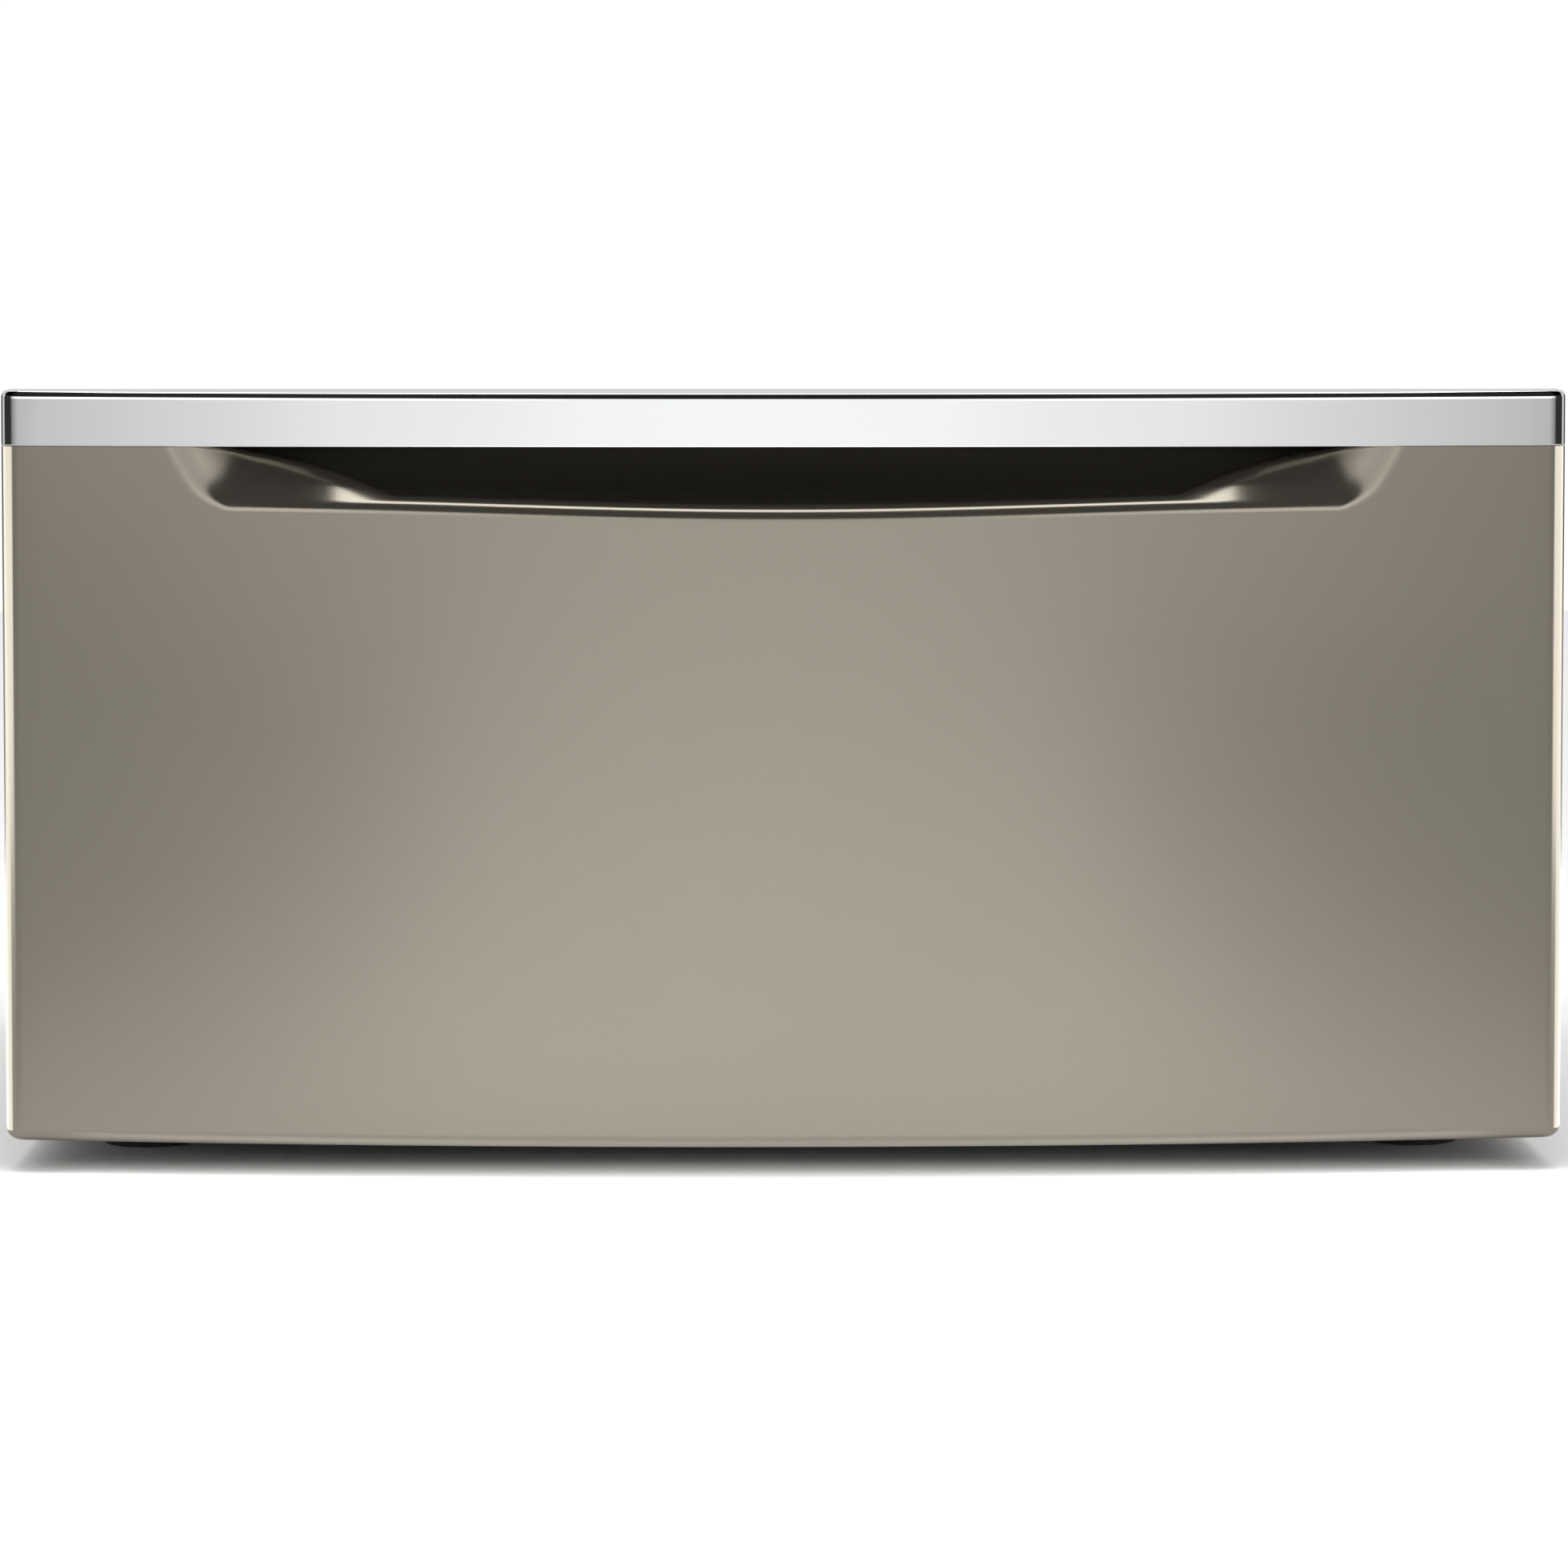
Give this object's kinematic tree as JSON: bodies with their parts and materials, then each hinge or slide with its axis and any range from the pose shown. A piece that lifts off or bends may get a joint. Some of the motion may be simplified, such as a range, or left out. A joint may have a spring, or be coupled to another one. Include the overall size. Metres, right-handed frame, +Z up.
{
  "type": "laundry pedestal",
  "caption": "Laundry pedestal with a full-width storage drawer, a bowed metallic front and a chrome handle trim; stands on levelling feet under a front load washing machine.",
  "frame": {"origin": "on the floor, under the centre of the bounding box, with the drawer shut and the feet screwed in", "axes": "+Z up; the drawer opens towards -Y; +X to the right for someone facing the drawer"},
  "size_m": [0.686, 0.67, 0.344],
  "materials": {
    "front_paint": "metallic champagne lacquer with a fine grain and a clear coat",
    "chrome_trim": "bright chrome plating",
    "cabinet_paint": "satin champagne paint",
    "galvanised": "hot-dip galvanised sheet with faint spangle",
    "zinc_hardware": "bright zinc plating",
    "slide_steel": "zinc plated, rolled",
    "cage_steel": "dull stamped strip",
    "ball_steel": "polished, greased",
    "drawer_paint": "light grey powder coat",
    "mat_rubber": "ribbed, matte",
    "divider_plastic": "fine texture",
    "black_plastic": "satin",
    "black_rubber": "matte"
  },
  "bodies": {
    "cabinet": {"left_side_panel": "cabinet_paint", "right_side_panel": "cabinet_paint", "rear_panel": "galvanised", "top_deck": "cabinet_paint", "deck_corner_plates": "galvanised", "deck_crossbars": "galvanised", "front_top_rail": "galvanised", "front_bottom_rail": "galvanised", "rear_bottom_rail": "galvanised", "left_front_foot_bracket": "galvanised", "right_front_foot_bracket": "galvanised", "left_rear_foot_bracket": "galvanised", "right_rear_foot_bracket": "galvanised", "foot_weld_nuts": "zinc_hardware", "foot_lock_nuts": "zinc_hardware", "left_slide_support": "galvanised", "right_slide_support": "galvanised", "left_slide_outer": "slide_steel", "right_slide_outer": "slide_steel", "slide_outer_screws": "zinc_hardware", "rear_screws": "zinc_hardware", "front_bumpers": "black_rubber"},
    "drawer": {"drawer_front_panel": "front_paint", "chrome_handle": "chrome_trim", "drawer_front_liner": "galvanised", "front_stiffeners": "galvanised", "handle_screws": "zinc_hardware", "drawer_front_wall": "drawer_paint", "drawer_left_wall": "drawer_paint", "drawer_right_wall": "drawer_paint", "drawer_rear_wall": "drawer_paint", "drawer_floor": "drawer_paint", "drawer_mat": "mat_rubber", "front_screws": "zinc_hardware", "left_slide_inner": "slide_steel", "right_slide_inner": "slide_steel", "slide_inner_screws": "zinc_hardware"},
    "divider": {"divider_panel": "divider_plastic", "divider_clips": "black_plastic"},
    "left_lever": {"left_release_lever": "black_plastic"},
    "right_lever": {"right_release_lever": "black_plastic"},
    "left_middle": {"left_slide_middle": "slide_steel"},
    "right_middle": {"right_slide_middle": "slide_steel"},
    "left_outer_ball_cage": {"left_outer_cage": "cage_steel", "left_outer_balls": "ball_steel"},
    "left_inner_ball_cage": {"left_inner_cage": "cage_steel", "left_inner_balls": "ball_steel"},
    "right_outer_ball_cage": {"right_outer_cage": "cage_steel", "right_outer_balls": "ball_steel"},
    "right_inner_ball_cage": {"right_inner_cage": "cage_steel", "right_inner_balls": "ball_steel"},
    "left_front_foot": {"left_front_foot_pad": "black_rubber", "left_front_foot_stem": "zinc_hardware"},
    "right_front_foot": {"right_front_foot_pad": "black_rubber", "right_front_foot_stem": "zinc_hardware"},
    "left_rear_foot": {"left_rear_foot_pad": "black_rubber", "left_rear_foot_stem": "zinc_hardware"},
    "right_rear_foot": {"right_rear_foot_pad": "black_rubber", "right_rear_foot_stem": "zinc_hardware"}
  },
  "joints": [
    {"name": "drawer_slide", "type": "slide", "parent": "cabinet", "child": "drawer", "axis": [0, -1, 0], "range_m": [0, 0.45]},
    {"name": "left_middle_slide", "type": "slide", "parent": "cabinet", "child": "left_middle", "axis": [0, -1, 0], "range_m": [0, 0.225]},
    {"name": "left_outer_cage_slide", "type": "slide", "parent": "cabinet", "child": "left_outer_ball_cage", "axis": [0, -1, 0], "range_m": [0, 0.1125]},
    {"name": "left_inner_cage_slide", "type": "slide", "parent": "cabinet", "child": "left_inner_ball_cage", "axis": [0, -1, 0], "range_m": [0, 0.3375]},
    {"name": "right_middle_slide", "type": "slide", "parent": "cabinet", "child": "right_middle", "axis": [0, -1, 0], "range_m": [0, 0.225]},
    {"name": "right_outer_cage_slide", "type": "slide", "parent": "cabinet", "child": "right_outer_ball_cage", "axis": [0, -1, 0], "range_m": [0, 0.1125]},
    {"name": "right_inner_cage_slide", "type": "slide", "parent": "cabinet", "child": "right_inner_ball_cage", "axis": [0, -1, 0], "range_m": [0, 0.3375]},
    {"name": "divider_slide", "type": "slide", "parent": "drawer", "child": "divider", "axis": [0, 1, 0], "range_m": [-0.22, 0.22]},
    {"name": "left_lever_pivot", "type": "hinge", "parent": "drawer", "child": "left_lever", "pos_m": [-0.3175, -0.194, 0.15], "axis": [1, 0, 0], "range_deg": [-10, 0], "stiffness_Nm_per_rad": 0.02},
    {"name": "right_lever_pivot", "type": "hinge", "parent": "drawer", "child": "right_lever", "pos_m": [0.3175, -0.194, 0.15], "axis": [1, 0, 0], "range_deg": [0, 10], "stiffness_Nm_per_rad": 0.02},
    {"name": "left_front_foot_screw", "type": "slide", "parent": "cabinet", "child": "left_front_foot", "axis": [0, 0, -1], "range_m": [0, 0.018]},
    {"name": "right_front_foot_screw", "type": "slide", "parent": "cabinet", "child": "right_front_foot", "axis": [0, 0, -1], "range_m": [0, 0.018]},
    {"name": "left_rear_foot_screw", "type": "slide", "parent": "cabinet", "child": "left_rear_foot", "axis": [0, 0, -1], "range_m": [0, 0.018]},
    {"name": "right_rear_foot_screw", "type": "slide", "parent": "cabinet", "child": "right_rear_foot", "axis": [0, 0, -1], "range_m": [0, 0.018]}
  ],
  "couplings": [
    {"joint": "left_middle_slide", "follows": "drawer_slide", "ratio": 0.5},
    {"joint": "left_outer_cage_slide", "follows": "drawer_slide", "ratio": 0.25},
    {"joint": "left_inner_cage_slide", "follows": "drawer_slide", "ratio": 0.75},
    {"joint": "right_middle_slide", "follows": "drawer_slide", "ratio": 0.5},
    {"joint": "right_outer_cage_slide", "follows": "drawer_slide", "ratio": 0.25},
    {"joint": "right_inner_cage_slide", "follows": "drawer_slide", "ratio": 0.75}
  ]
}
